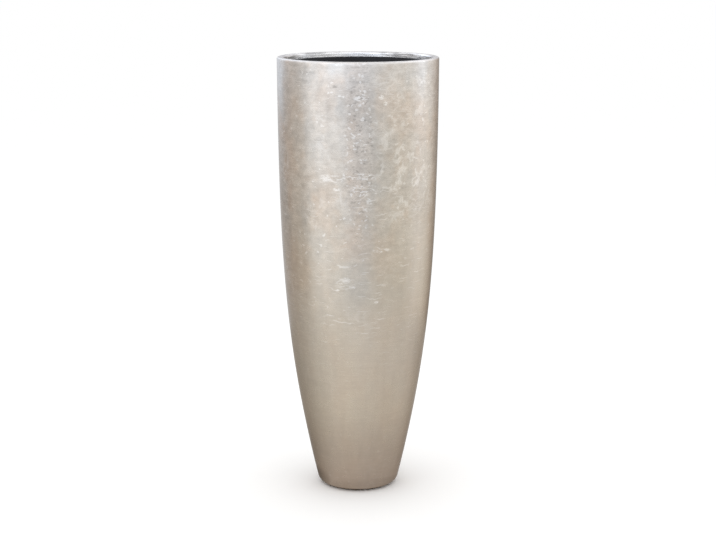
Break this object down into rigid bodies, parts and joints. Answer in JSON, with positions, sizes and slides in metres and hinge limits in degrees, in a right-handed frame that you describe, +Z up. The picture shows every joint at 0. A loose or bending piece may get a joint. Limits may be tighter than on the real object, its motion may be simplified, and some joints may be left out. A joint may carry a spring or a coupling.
{
  "type": "tall planter",
  "caption": "Tall round floor planter that curves in to a narrow foot, with a weighted base and a lift-out liner that has swinging wire handles and a drain plug.",
  "frame": {"origin": "middle of the foot, on the floor", "axes": "+Z up along the planter's axis; the liner's two handles lie at -X and +X; the picture looks along +Y"},
  "size_m": [0.33, 0.3298, 0.9],
  "materials": {
    "silver_leaf": "silver leaf under satin lacquer on glass-fibre laminate",
    "ledge_laminate": "black painted laminate",
    "base_laminate": "raw glass-fibre laminate",
    "cast_mortar": "rough cast mortar",
    "pad_rubber": "matte",
    "liner_plastic": "moulded black plastic, satin",
    "handle_wire": "galvanised wire",
    "plug_rubber": "matte"
  },
  "bodies": {
    "planter": {"shell": "silver_leaf", "liner_ledge": "ledge_laminate", "base_panel": "base_laminate", "ballast": "cast_mortar", "base_pad": "pad_rubber"},
    "liner": {"liner": "liner_plastic"},
    "handle_left": {"handle_left": "handle_wire"},
    "handle_right": {"handle_right": "handle_wire"},
    "drain_plug": {"drain_plug": "plug_rubber"}
  },
  "joints": [
    {"name": "liner_lift", "type": "slide", "parent": "planter", "child": "liner", "axis": [0, 0, 1], "range_m": [0, 0.31]},
    {"name": "handle_left_swing", "type": "hinge", "parent": "liner", "child": "handle_left", "pos_m": [-0.12001, 0, 0.865], "axis": [0, -1, 0], "range_deg": [0, 180]},
    {"name": "handle_right_swing", "type": "hinge", "parent": "liner", "child": "handle_right", "pos_m": [0.12001, 0, 0.865], "axis": [0, 1, 0], "range_deg": [0, 180]},
    {"name": "plug_pull", "type": "slide", "parent": "liner", "child": "drain_plug", "axis": [0, 0, 1], "range_m": [0, 0.31]}
  ]
}
